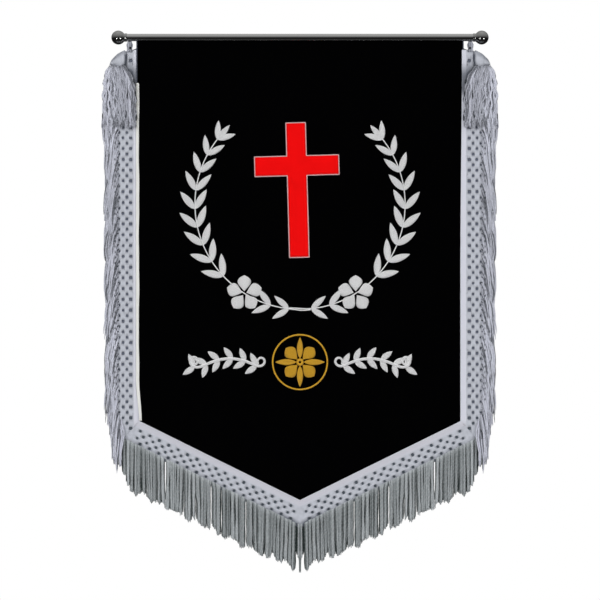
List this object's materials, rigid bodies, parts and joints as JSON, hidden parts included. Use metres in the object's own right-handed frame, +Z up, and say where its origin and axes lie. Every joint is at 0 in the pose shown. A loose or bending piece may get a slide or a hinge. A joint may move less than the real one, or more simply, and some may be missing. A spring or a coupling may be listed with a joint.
{
  "type": "church banner with hanging rod",
  "caption": "Black velvet banner with a pointed foot, a red cross and a netted fringe, hung from a slotted chrome rod.",
  "frame": {"origin": "top of the rod at its middle, where the banner is held up", "axes": "+X to the banner's right as seen from the front, +Y to the back so that the front faces -Y, +Z up"},
  "size_m": [0.7389, 0.0333, 1.0104],
  "materials": {
    "chrome": "polished chrome plate",
    "velvet": "black short-pile velvet",
    "heading": "netted white rayon tape",
    "fringe": "soft white cut rayon fringe",
    "edge_strip": "cream woven tape",
    "cross": "red woven cloth, slight sheen",
    "edging": "pale stitched cord",
    "white_stitching": "white satin stitch",
    "gold_stitching": "gold satin stitch"
  },
  "bodies": {
    "root": {"rod": "chrome", "finial_left": "chrome", "finial_right": "chrome", "banner_cloth": "velvet", "heading_left": "heading", "heading_right": "heading", "heading_foot": "heading", "fringe_left": "fringe", "fringe_right": "fringe", "fringe_foot_left": "fringe", "fringe_foot_right": "fringe", "fringe_shoulder_left": "fringe", "fringe_shoulder_right": "fringe", "edge_strip": "edge_strip", "cross": "cross", "cross_edging": "edging"}
  },
  "joints": []
}
